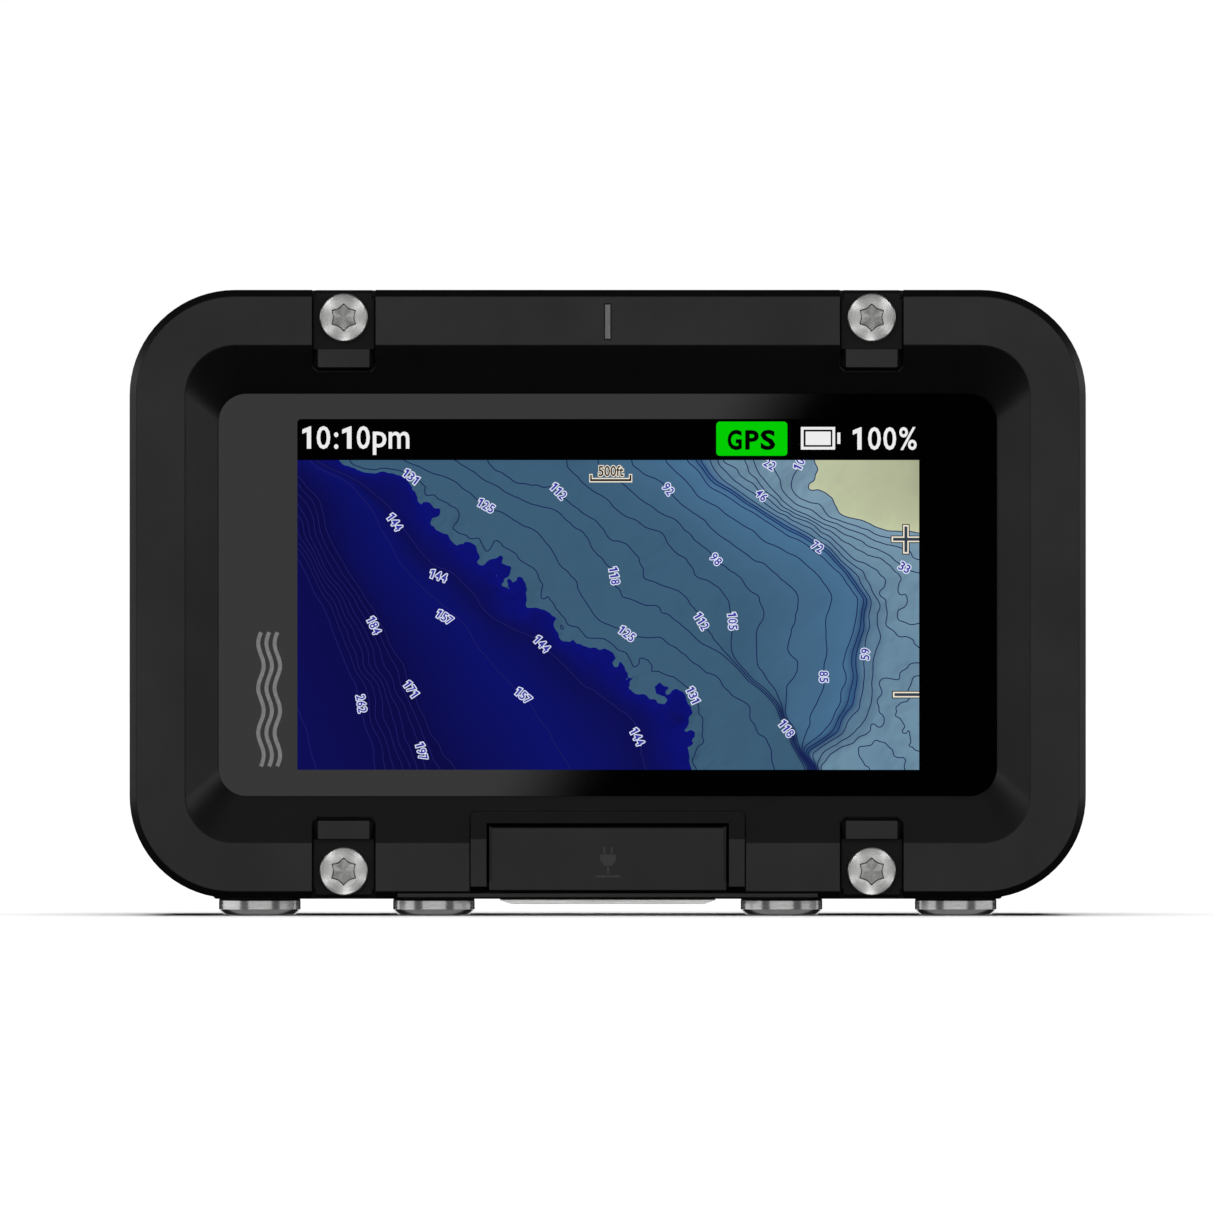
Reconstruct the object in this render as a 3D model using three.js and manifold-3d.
// Rugged chartplotter display: a sealed two-shell case that stands on four steel push-buttons.
// Frame: millimetres, +X to the viewer's right, +Y to the back, +Z up, origin under the middle of
// the case on the plane of the four button faces.
import * as THREE from "three";
import { mergeVertices } from "three/addons/utils/BufferGeometryUtils.js";
import Module from "manifold-3d";

const wasm = await Module();
wasm.setup();
const { Manifold, Mesh: SolidMesh } = wasm;

// ---------- driving dimensions ----------
const GAP = 0.1; // between pieces that touch
const BEZEL_W = 146.0, BEZEL_H = 92.9, BEZEL_R = 15.6;
const BEZEL_Z0 = 2.62; // underside of the bezel
const MID_Z = BEZEL_Z0 + BEZEL_H / 2;
const FRONT_Y = -18.0, BEZEL_BACK_Y = -8.5, EDGE_ROUND = 1.2;
const FACE_W = 8.5; // width of the flat face of the bezel
const VIEW_W = 119.0, VIEW_H = 61.5, VIEW_R = 4.3, VIEW_Z = 48.95; // opening over the glass
const LIP_Y = -14.0, LIP_BACK_Y = -13.0;
const GLASS_W = 124.0, GLASS_H = 66.5, GLASS_R = 5.0, GLASS_Y0 = -12.0, GLASS_Y1 = -9.0;
const LCD_W = 105.5, LCD_H = 67.2, LCD_Y0 = -8.8, LCD_Y1 = -5.9;
const CLAMP_X = 40.3, CLAMP_W = 9.5, CLAMP_L = 12.35, NOTCH_W = 9.9, NOTCH_L = 12.5;
const NOTCH_Y = -14.0, SEAT_Y = -16.3;
const SCREW_TOP_Z = 91.3, SCREW_LOW_Z = 6.75, HEAD_R = 3.78, HEAD_H = 2.1, SHANK_R = 1.95;
const HOUSE_INSET = 0.8, HOUSE_Y0 = -8.3, HOUSE_Y1 = 16.5, WALL = 8.5, BACK_WALL = 3.0;
const SHELF_X = 60.3, SHELF_Z = 2.45, BAR_TOP_Z = 13.0;
const BUTTON_X = [-53.35, -26.65, 26.65, 53.35], BUTTON_Y = 1.0, BUTTON_R = 6.25, TRAVEL = 1.0;
const STEM_R = 2.0, CUP_BORE_R = 6.5, CUP_BORE_TOP = 6.6;
const HATCH_X = 18.1, HATCH_TOP = 13.55, HINGE_Y = -17.05, HINGE_Z = 4.6, PIN_R = 0.5, LEG_Z = 4.37, LEG_RECESS_Y = -17.75;
const FRAME_X = 20.95, FRAME_TOP = 16.0, FRAME_IN_X = 18.5, FRAME_IN_TOP = 14.1, FRAME_RAISE = 0.5, FRAME_SLOPE_RAISE = 0.8;
const PORT_X = 16.0, PORT_TOP = 13.0, PORT_Z0 = 3.6, PORT_SHOULDER_Y = -14.4; // pocket block of the port frame

// ---------- helpers ----------
// A closed three.js geometry as a solid.
function solid(geometry) {
  const g = geometry.index ? geometry.toNonIndexed() : geometry.clone();
  const bare = new THREE.BufferGeometry().setAttribute("position", g.getAttribute("position"));
  const merged = mergeVertices(bare, 1e-4);
  const p = merged.attributes.position.array, index = merged.index.array, t = [];
  let volume = 0;
  for (let i = 0; i < index.length; i += 3) {
    const [a, b, c] = [index[i], index[i + 1], index[i + 2]];
    if (a === b || b === c || c === a) continue;
    t.push(a, b, c);
    const [ax, ay, az, bx, by, bz, cx, cy, cz] = [a, b, c].flatMap((k) => [p[3 * k], p[3 * k + 1], p[3 * k + 2]]);
    volume += ax * (by * cz - bz * cy) - ay * (bx * cz - bz * cx) + az * (bx * cy - by * cx);
  }
  if (volume < 0) for (let i = 0; i < t.length; i += 3) [t[i + 1], t[i + 2]] = [t[i + 2], t[i + 1]];
  return new Manifold(new SolidMesh({ numProp: 3, vertProperties: new Float32Array(p), triVerts: new Uint32Array(t) }));
}
function box(x0, x1, y0, y1, z0, z1) {
  const g = new THREE.BoxGeometry(x1 - x0, y1 - y0, z1 - z0);
  g.translate((x0 + x1) / 2, (y0 + y1) / 2, (z0 + z1) / 2);
  return solid(g);
}
function rrPoints(w, h, r, cx, cz, seg = 6) {
  const pts = [];
  for (const [sx, sz, a0] of [[1, 1, 0], [-1, 1, 90], [-1, -1, 180], [1, -1, 270]])
    for (let i = 0; i <= seg; i++) {
      const a = ((a0 + (90 * i) / seg) * Math.PI) / 180;
      pts.push([cx + sx * (w / 2 - r) + r * Math.cos(a), cz + sz * (h / 2 - r) + r * Math.sin(a)]);
    }
  return pts;
}
const shapeOf = (pts, holes = []) => {
  const s = new THREE.Shape(pts.map((p) => new THREE.Vector2(p[0], p[1])));
  for (const h of holes) s.holes.push(new THREE.Path(h.map((p) => new THREE.Vector2(p[0], p[1]))));
  return s;
};
// An (x, z) outline between two planes of Y.
function plateY(pts, y0, y1, holes = []) {
  const g = new THREE.ExtrudeGeometry(shapeOf(pts, holes), { depth: y1 - y0, bevelEnabled: false, curveSegments: 1 });
  g.rotateX(Math.PI / 2);
  g.translate(0, y1, 0);
  return solid(g);
}
// An (x, y) outline between two planes of Z.
function plateZ(pts, z0, z1, holes = []) {
  const g = new THREE.ExtrudeGeometry(shapeOf(pts, holes), { depth: z1 - z0, bevelEnabled: false, curveSegments: 1 });
  g.translate(0, 0, z0);
  return solid(g);
}
// A (y, z) outline between two planes of X.
function plateX(pts, x0, x1) {
  const g = new THREE.ExtrudeGeometry(shapeOf(pts), { depth: x1 - x0, bevelEnabled: false, curveSegments: 1 });
  g.applyMatrix4(new THREE.Matrix4().set(0, 0, 1, x0, 1, 0, 0, 0, 0, 1, 0, 0, 0, 0, 0, 1));
  return solid(g);
}
const circle = (cx, cz, r, n = 20) => Array.from({ length: n }, (_, i) => {
  const a = ((i + 0.5) * 2 * Math.PI) / n;
  return [cx + r * Math.cos(a), cz + r * Math.sin(a)];
});
// Turned pieces: profile of [radius, height] on the Z axis at (x, y), or on the Y axis at (x, z).
function turnZ(profile, x, y, n = 24) {
  const g = new THREE.LatheGeometry(profile.map(([r, h]) => new THREE.Vector2(r, h)), n);
  g.rotateX(Math.PI / 2);
  g.translate(x, y, 0);
  return solid(g);
}
function turnY(profile, x, z, n = 20) {
  const g = new THREE.LatheGeometry(profile.map(([r, h]) => new THREE.Vector2(r, h)), n);
  g.translate(x, 0, z);
  return solid(g);
}
function turnX(profile, y, z, n = 16) {
  const g = new THREE.LatheGeometry(profile.map(([r, h]) => new THREE.Vector2(r, h)), n);
  g.rotateZ(-Math.PI / 2);
  g.translate(0, y, z);
  return solid(g);
}
// A skin through loops of equal length, closed on itself (ring) or capped at both ends.
function loft(loops, ring = false) {
  const n = loops[0].pts.length, pos = [], idx = [];
  for (const l of loops) for (const [x, z] of l.pts) pos.push(x, l.y, z);
  const rows = ring ? loops.length : loops.length - 1;
  for (let r = 0; r < rows; r++) {
    const a = r * n, b = ((r + 1) % loops.length) * n;
    for (let i = 0; i < n; i++) {
      const j = (i + 1) % n;
      idx.push(a + i, b + i, b + j, a + i, b + j, a + j);
    }
  }
  if (!ring)
    for (const [base, flip] of [[0, true], [(loops.length - 1) * n, false]]) {
      const l = loops[base / n], k = pos.length / 3;
      const cx = l.pts.reduce((s, q) => s + q[0], 0) / n, cz = l.pts.reduce((s, q) => s + q[1], 0) / n;
      pos.push(cx, l.y, cz);
      for (let i = 0; i < n; i++) {
        const j = (i + 1) % n;
        flip ? idx.push(k, base + i, base + j) : idx.push(k, base + j, base + i);
      }
    }
  const g = new THREE.BufferGeometry().setAttribute("position", new THREE.Float32BufferAttribute(pos, 3));
  g.setIndex(idx);
  return solid(g);
}
const cut = (a, ...bs) => bs.reduce((s, b) => s.subtract(b), a);
const join = (a, ...bs) => bs.reduce((s, b) => s.add(b), a);

// ---------- materials ----------
const mat = (color, roughness, metalness, extra = {}) => new THREE.MeshStandardMaterial({ color, roughness, metalness, ...extra });
const BLACK = mat(0x1d1d1e, 0.55, 0.0), BLACK_DARK = mat(0x141415, 0.6, 0.0), STEEL = mat(0xb9b9b8, 0.3, 1.0);
const RUBBER = mat(0x0d0d0d, 0.85, 0.0), GLASS = mat(0x050607, 0.05, 0.0, { transparent: true, opacity: 0.35 });
const SCREEN = mat(0x0d1078, 0.4, 0.0), ALU = mat(0x9a9c9e, 0.45, 1.0), PCB = mat(0x12402a, 0.6, 0.0);
const TIN = mat(0xa9abac, 0.35, 1.0), CELL = mat(0x3a3f46, 0.5, 0.2), CERAMIC = mat(0xd8cfae, 0.7, 0.0);
const MARK = mat(0x767676, 0.6, 0.0), SWITCH = mat(0x2b2b2d, 0.5, 0.0), ANODISED = mat(0x202122, 0.4, 0.6);

const root = new THREE.Group();
root.name = "chartplotter_display";
function put(name, s, material) {
  const m = s.getMesh(), n = m.numProp, v = new Float32Array(m.numVert * 3);
  for (let i = 0; i < m.numVert; i++) v.set(m.vertProperties.subarray(i * n, i * n + 3), i * 3);
  const g = new THREE.BufferGeometry().setAttribute("position", new THREE.BufferAttribute(v, 3));
  g.setIndex(new THREE.BufferAttribute(m.triVerts, 1));
  const shown = g.toNonIndexed();
  shown.computeVertexNormals();
  const mesh = new THREE.Mesh(shown, material);
  mesh.name = name;
  root.add(mesh);
}
const SIDES = [["left", -1], ["right", 1]];

// ---------- front bezel ----------
const faceEdge = (o, seg = 6) => rrPoints(BEZEL_W - 2 * o, BEZEL_H - 2 * o, BEZEL_R - o, 0, MID_Z, seg);
const viewEdge = (o = 0) => rrPoints(VIEW_W + 2 * o, VIEW_H + 2 * o, VIEW_R + o, 0, VIEW_Z, 6);
const glassSeat = rrPoints(GLASS_W + 1, GLASS_H + 1, GLASS_R, 0, VIEW_Z, 6);
let bezel = loft([
  { pts: faceEdge(0), y: BEZEL_BACK_Y },
  { pts: faceEdge(0), y: FRONT_Y + EDGE_ROUND },
  { pts: faceEdge(0.35), y: FRONT_Y + 0.35 },
  { pts: faceEdge(EDGE_ROUND), y: FRONT_Y },
  { pts: faceEdge(FACE_W), y: FRONT_Y },
  { pts: viewEdge(), y: LIP_Y },
  { pts: viewEdge(), y: LIP_BACK_Y },
  { pts: glassSeat, y: LIP_BACK_Y },
  { pts: glassSeat, y: BEZEL_BACK_Y },
], true);
// raised frame round the hatch: flat below its crease, sloping with the bezel above it
const creaseZ = BEZEL_Z0 + FACE_W;
const slope = (LIP_Y - FRONT_Y) / (VIEW_Z - VIEW_H / 2 - creaseZ);
const slopeY = (z) => FRONT_Y + (z - creaseZ) * slope - FRAME_SLOPE_RAISE;
const frameCrease = creaseZ + (FRAME_SLOPE_RAISE - FRAME_RAISE) / slope;
const frameSide = plateX([[FRONT_Y - FRAME_RAISE, LEG_Z], [-14.4, LEG_Z], [-14.4, FRAME_TOP], [slopeY(FRAME_TOP), FRAME_TOP], [FRONT_Y - FRAME_RAISE, frameCrease]], -FRAME_X, FRAME_X);
const frameOutline = plateY([[-FRAME_X, 3.9], [FRAME_X, 3.9], [FRAME_X, FRAME_TOP - 0.9], [FRAME_X - 0.9, FRAME_TOP], [-FRAME_X + 0.9, FRAME_TOP], [-FRAME_X, FRAME_TOP - 0.9]], -20, -14);
let port = frameSide.intersect(frameOutline).add(box(-FRAME_X, FRAME_X, LEG_RECESS_Y, PORT_SHOULDER_Y, PORT_Z0, 5.2)).add(box(-PORT_X, PORT_X, PORT_SHOULDER_Y - 0.1, BEZEL_BACK_Y, PORT_Z0, PORT_TOP));
port = cut(port,
  box(-FRAME_IN_X, FRAME_IN_X, -20, -15.2, 0, FRAME_IN_TOP), // seat of the hatch
  box(-14, 14, -16, -9.5, 5.35, 12.0), // plug pocket
  box(-9.3, 9.3, -10, -8, 5.35, 9.15), // connector way
  turnX([[0, -20.6], [PIN_R + GAP, -20.6], [PIN_R + GAP, 20.6], [0, 20.6]], HINGE_Y, HINGE_Z, 12),
);
put("port_frame", port, BLACK);
bezel = cut(bezel,
  box(-32.3, 32.3, -17.85, -8, 0, 3.5), // keel plate seat
  // way for the port frame: its raised front, and its pocket behind the shoulder
  plateY([[-FRAME_X - GAP, 0], [FRAME_X + GAP, 0], [FRAME_X + GAP, FRAME_TOP - 0.87], [FRAME_X - 0.87, FRAME_TOP + GAP], [-FRAME_X + 0.87, FRAME_TOP + GAP], [-FRAME_X - GAP, FRAME_TOP - 0.87]], -20, PORT_SHOULDER_Y + GAP),
  box(-PORT_X - GAP, PORT_X + GAP, -15, -8, 0, PORT_TOP + GAP),
  box(-0.5, 0.5, -19, -17.35, 87.95, 93.35), // heading index groove
);
const clampPlaces = [];
for (const [side, s] of SIDES) {
  clampPlaces.push([`top_${side}`, s * CLAMP_X, 1, BEZEL_Z0 + BEZEL_H, SCREW_TOP_Z]);
  clampPlaces.push([`bottom_${side}`, s * CLAMP_X, -1, BEZEL_Z0, SCREW_LOW_Z]);
}
for (const [, x, up, edgeZ, screwZ] of clampPlaces) {
  const zs = [edgeZ - up * NOTCH_L, edgeZ + up * 2];
  bezel = bezel.subtract(box(x - NOTCH_W / 2, x + NOTCH_W / 2, -20, NOTCH_Y, Math.min(...zs), Math.max(...zs)));
  bezel = bezel.subtract(plateY(circle(x, screwZ, 2.3, 12), -15, -8));
}
put("front_bezel", bezel, BLACK);

// heading index let into the top of the bezel
put("index_mark", box(-0.4, 0.4, FRONT_Y - 0.02, -17.45, 88.05, 93.25), MARK);

// ---------- clamps and their screws ----------
for (const [name, x, up, edgeZ, screwZ] of clampPlaces) {
  const z = (d) => edgeZ - up * d; // d runs inwards from the rim
  const profile = [[NOTCH_Y - GAP, z(0.15)], [NOTCH_Y - GAP, z(CLAMP_L)], [FRONT_Y + 0.5, z(CLAMP_L)], [FRONT_Y, z(CLAMP_L - 0.5)], [FRONT_Y, z(8.95)], [SEAT_Y, z(8.7)], [SEAT_Y, z(0.9)], [SEAT_Y + 0.6, z(0.15)]];
  let clamp = plateX(profile, x - CLAMP_W / 2, x + CLAMP_W / 2);
  clamp = clamp.subtract(plateY(circle(x, screwZ, 2.2, 12), -19, -13));
  put(`clamp_${name}`, clamp, BLACK_DARK);
  const top = SEAT_Y - GAP - HEAD_H, seat = SEAT_Y - GAP, tip = 2.5;
  let screw = turnY([[0, top], [HEAD_R - 0.5, top + 0.08], [HEAD_R - 0.12, top + 0.4], [HEAD_R, top + 0.9], [HEAD_R, seat], [SHANK_R, seat], [SHANK_R, tip - 0.8], [SHANK_R - 0.7, tip], [0, tip]], x, screwZ, 20);
  const star = Array.from({ length: 12 }, (_, i) => {
    const a = (i * Math.PI) / 6 + Math.PI / 2, r = i % 2 ? 1.55 : 2.1;
    return [x + r * Math.cos(a), screwZ + r * Math.sin(a)];
  });
  screw = screw.subtract(plateY(star, top - 1, top + 1.3));
  put(`clamp_screw_${name}`, screw, STEEL);
}

// ---------- glass, gasket, display ----------
put("cover_glass", plateY(rrPoints(GLASS_W, GLASS_H, 4.5, 0, VIEW_Z, 5), GLASS_Y0, GLASS_Y1), GLASS);
put("glass_gasket", plateY(rrPoints(GLASS_W + 0.4, GLASS_H + 0.4, 4.7, 0, VIEW_Z, 5), LIP_BACK_Y + GAP, GLASS_Y0 - GAP, [rrPoints(VIEW_W + 0.8, VIEW_H + 0.8, VIEW_R, 0, VIEW_Z, 5).reverse()]), RUBBER);
put("lcd_panel", box(-LCD_W / 2, LCD_W / 2, LCD_Y0, LCD_Y1, VIEW_Z - LCD_H / 2, VIEW_Z + LCD_H / 2), SCREEN);
put("light_sensor", box(53.2, 55.8, LCD_Y0, LCD_Y0 + 1.1, 47.6, 50.2), SWITCH);

// ---------- rear housing ----------
const houseEdge = (o) => rrPoints(BEZEL_W - 2 * (HOUSE_INSET + o), BEZEL_H - 2 * (HOUSE_INSET + o), BEZEL_R - HOUSE_INSET - Math.min(o, 6), 0, MID_Z, 6);
let housing = loft([
  { pts: houseEdge(0), y: HOUSE_Y0 },
  { pts: houseEdge(0), y: 9.5 },
  { pts: houseEdge(1.2), y: 13.2 },
  { pts: houseEdge(4.6), y: HOUSE_Y1 },
]);
// shelf that carries the buttons, and a pad behind each upper clamp
const shelf = plateX([[HOUSE_Y0, SHELF_Z], [9.5, SHELF_Z], [12.5, 5.2], [12.5, 12], [HOUSE_Y0, 12]], -SHELF_X, SHELF_X);
housing = housing.add(shelf);
for (const [, s] of SIDES)
  housing = housing.add(plateX([[HOUSE_Y0, 88], [HOUSE_Y0, 95.5], [3.0, 95.5], [5.5, 94.2], [5.5, 88]], s * CLAMP_X - 8.2, s * CLAMP_X + 8.2));
const cavTop = BEZEL_Z0 + BEZEL_H - HOUSE_INSET - WALL, cavX = BEZEL_W / 2 - HOUSE_INSET - WALL;
housing = cut(housing,
  plateY(rrPoints(2 * cavX, cavTop - BAR_TOP_Z, 4.4, 0, (cavTop + BAR_TOP_Z) / 2, 4), -10, HOUSE_Y1 - BACK_WALL),
  box(-9.4, 9.4, -10, -2.0, 5.15, 9.3), // connector pocket
);
for (const [, x, , , screwZ] of clampPlaces) housing = housing.subtract(plateY(circle(x, screwZ, 2.1, 12), -10, 3.2));
for (const x of BUTTON_X)
  housing = housing.subtract(turnZ([[0, 1], [CUP_BORE_R, 1], [CUP_BORE_R, CUP_BORE_TOP], [4.1, CUP_BORE_TOP], [4.1, 14], [0, 14]], x, BUTTON_Y, 24));
// gland of the main seal
const sealEdge = (o) => rrPoints(BEZEL_W - 2 * (HOUSE_INSET + o), BEZEL_H - 2 * (HOUSE_INSET + o), 9.2, 0, MID_Z, 5);
housing = housing.subtract(plateY(sealEdge(6.1), -9, -7.0, [sealEdge(7.9).reverse()]));
// depth sensor port, mount screws
const SENSOR = [45, 33];
housing = housing.subtract(plateY(circle(...SENSOR, 4.3, 16), 10, 18));
const MOUNT_SCREWS = [[-25, MID_Z - 20], [25, MID_Z - 20], [-25, MID_Z + 20], [25, MID_Z + 20]];
for (const [x, z] of MOUNT_SCREWS) housing = housing.subtract(plateY(circle(x, z, 1.65, 10), 14.1, 18));
// shallow panel recess and grip ribs on the back
for (const [, s] of SIDES)
  for (let i = 0; i < 4; i++) {
    const x = s * (47 + i * 4.2);
    housing = housing.subtract(box(x - 0.8, x + 0.8, 15.9, 18, 47, 80));
  }
put("rear_housing", housing, BLACK);
put("housing_seal", plateY(sealEdge(6.2), -8.4, -7.1, [sealEdge(7.8).reverse()]), RUBBER);

// ---------- keel plate and dock plate ----------
put("keel_plate", plateX([[-17.75, 2.75], [-8.6, 2.75], [-8.6, 3.4], [-17.75, 3.4]], -32.1, 32.1), BLACK);
put("dock_plate", plateY([[-16.5, 2.35], [-16.5, 2.25], [-14.8, 1.65], [14.8, 1.65], [16.5, 2.25], [16.5, 2.35]], -6.5, 8.5), STEEL);

// ---------- hatch over the charging port ----------
let hatch = plateX([[FRONT_Y, 3.95], [FRONT_Y + 0.3, 3.65], [-16.2, 3.65], [-15.4, 4.3], [-15.4, HATCH_TOP - 0.2], [-15.6, HATCH_TOP], [FRONT_Y + 0.5, HATCH_TOP], [FRONT_Y, HATCH_TOP - 0.5]], -HATCH_X, HATCH_X);
hatch = hatch.intersect(plateY([[-HATCH_X, 0], [HATCH_X, 0], [HATCH_X, 20], [-HATCH_X, 20]], FRONT_Y - 1, -15).intersect(plateZ([[-HATCH_X, -15], [-HATCH_X, -17.4], [-HATCH_X + 0.6, -18.01], [HATCH_X - 0.6, -18.01], [HATCH_X, -17.4], [HATCH_X, -15]], 0, 20)));
hatch = hatch.subtract(turnX([[0, -19], [PIN_R + GAP, -19], [PIN_R + GAP, 19], [0, 19]], HINGE_Y, HINGE_Z, 12));
put("port_hatch", hatch, BLACK);
put("hatch_seal", plateY(rrPoints(27.2, 5.8, 1.4, 0, 8.7, 3), -15.3, -14.4, [rrPoints(24.4, 3.0, 0.8, 0, 8.7, 3).reverse()]), RUBBER);
put("hatch_hinge_pin", turnX([[0, -20.4], [PIN_R, -20.4], [PIN_R, 20.4], [0, 20.4]], HINGE_Y, HINGE_Z, 12), STEEL);
let connector = cut(box(-9.1, 9.1, -9.8, -2.2, 5.55, 8.95), box(-7.6, 7.6, -11, -7.8, 6.25, 8.25));
for (const x of [-5.4, -1.8, 1.8, 5.4]) connector = connector.add(plateY(circle(x, 7.25, 0.7, 8), -9.4, -7.5));
put("charge_connector", connector, SWITCH);

// ---------- the four push-buttons ----------
class Coil extends THREE.Curve {
  constructor(r, turns, z0, z1) { super(); Object.assign(this, { r, turns, z0, z1 }); }
  getPoint(t, out = new THREE.Vector3()) {
    const a = t * this.turns * 2 * Math.PI;
    return out.set(this.r * Math.cos(a), this.r * Math.sin(a), this.z0 + (this.z1 - this.z0) * t);
  }
}
BUTTON_X.forEach((x, i) => {
  const k = i + 1, y = BUTTON_Y;
  // cup on a stem, with a groove for its clip
  put(`button_cap_${k}`, turnZ([[0, 0], [BUTTON_R - 0.8, 0], [BUTTON_R, 0.8], [BUTTON_R, 5.2], [5.5, 5.2], [5.5, 1.7], [STEM_R, 1.7], [STEM_R, 14.35], [1.5, 14.35], [1.5, 15.05], [STEM_R, 15.05], [STEM_R, 16.4], [0, 16.4]], x, y, 24), STEEL);
  put(`button_bushing_${k}`, turnZ([[3.3, 6.9], [3.9, 6.9], [3.9, 13.1], [5.2, 13.1], [5.2, 14.25], [2.15, 14.25], [2.15, 8.3], [3.3, 8.3], [3.3, 6.9]], x, y, 16), STEEL);
  const ring = Array.from({ length: 7 }, (_, j) => [2.72 + 0.48 * Math.cos((j * Math.PI) / 3), 7.6 + 0.48 * Math.sin((j * Math.PI) / 3)]);
  put(`button_o_ring_${k}`, turnZ(ring, x, y, 16), RUBBER);
  const wire = new THREE.Shape(Array.from({ length: 5 }, (_, j) => new THREE.Vector2(0.28 * Math.cos((j * 2 * Math.PI) / 5), 0.28 * Math.sin((j * 2 * Math.PI) / 5))));
  const coil = new THREE.ExtrudeGeometry(wire, { steps: 30, bevelEnabled: false, extrudePath: new Coil(4.75, 2.6, 2.15, 6.15) });
  coil.translate(x, y, 0);
  put(`button_spring_${k}`, solid(coil), STEEL);
  const clip = [];
  for (let j = 0; j <= 8; j++) clip.push([x + 3.0 * Math.cos(((35 + j * 36.25) * Math.PI) / 180), y + 3.0 * Math.sin(((35 + j * 36.25) * Math.PI) / 180)]);
  for (let j = 8; j >= 0; j--) clip.push([x + 1.75 * Math.cos(((35 + j * 36.25) * Math.PI) / 180), y + 1.75 * Math.sin(((35 + j * 36.25) * Math.PI) / 180)]);
  put(`button_clip_${k}`, plateZ(clip, 14.42, 14.98), STEEL);
  put(`tact_switch_${k}`, join(box(x - 3, x + 3, y - 3, y + 3, 18.3, 20.6), turnZ([[0, 17.6], [1.6, 17.6], [1.6, 18.5], [0, 18.5]], x, y, 10)), SWITCH);
});
put("button_board", box(-58, 58, BUTTON_Y - 3.6, BUTTON_Y + 3.6, 20.7, 21.7), PCB);

// ---------- electronics ----------
let bracket = plateY(rrPoints(118, 66, 3, 0, 50.5, 2), -5.7, -4.6, [-36, -12, 12, 36].map((x) => rrPoints(13, 30, 3, x, 50, 2).reverse()));
for (const [x, z] of [[-52, 30], [52, 30], [-52, 79], [52, 79]]) bracket = bracket.add(plateY(circle(x, z, 2.4, 8), -5.0, -3.4));
put("lcd_bracket", bracket, ALU);
put("main_board", plateY(rrPoints(112, 58, 2, 0, 54.5, 2), -3.3, -1.7), PCB);
put("shield_can", box(-44, -4, -1.6, 0.8, 48, 78), TIN);
put("gps_antenna", box(28, 53, -1.6, 2.6, 56, 81), CERAMIC);
put("battery_tray", cut(box(-44, 22, 1.2, 6.5, 25.5, 79.5), box(-42.5, 20.5, 2.4, 8, 27, 78)), BLACK_DARK);
put("battery_pack", plateX([[2.6, 27.8], [2.6, 77.2], [4.6, 77.8], [9.6, 77.8], [11.6, 77.2], [11.6, 27.8], [9.6, 27.2], [4.6, 27.2]], -42.2, 20.2), CELL);
put("depth_sensor", turnY([[0, 8.5], [4.0, 8.5], [4.0, 16.6], [6.6, 16.6], [6.6, 17.3], [6.1, 17.7], [0, 17.7]], ...SENSOR, 20), STEEL);

// ---------- rear mount plate ----------
let plate = plateY(rrPoints(60, 50, 5, 0, MID_Z, 4), HOUSE_Y1 + GAP, 18.5);
for (const dx of [-15, 15]) for (const dz of [-19.05, 19.05]) plate = plate.subtract(plateY(circle(dx, MID_Z + dz, 1.75, 12), 15, 20));
for (const [x, z] of MOUNT_SCREWS) plate = plate.subtract(turnY([[0, 15], [1.7, 15], [1.7, 17.1], [3.1, 18.5], [3.1, 20], [0, 20]], x, z, 12));
put("mount_plate", plate, ANODISED);
MOUNT_SCREWS.forEach(([x, z], i) => {
  const s = turnY([[0, 14.2], [1.45, 14.2], [1.45, 17.15], [2.75, 18.4], [0, 18.4]], x, z, 12);
  put(`mount_screw_${i + 1}`, s, STEEL);
});

export default root;
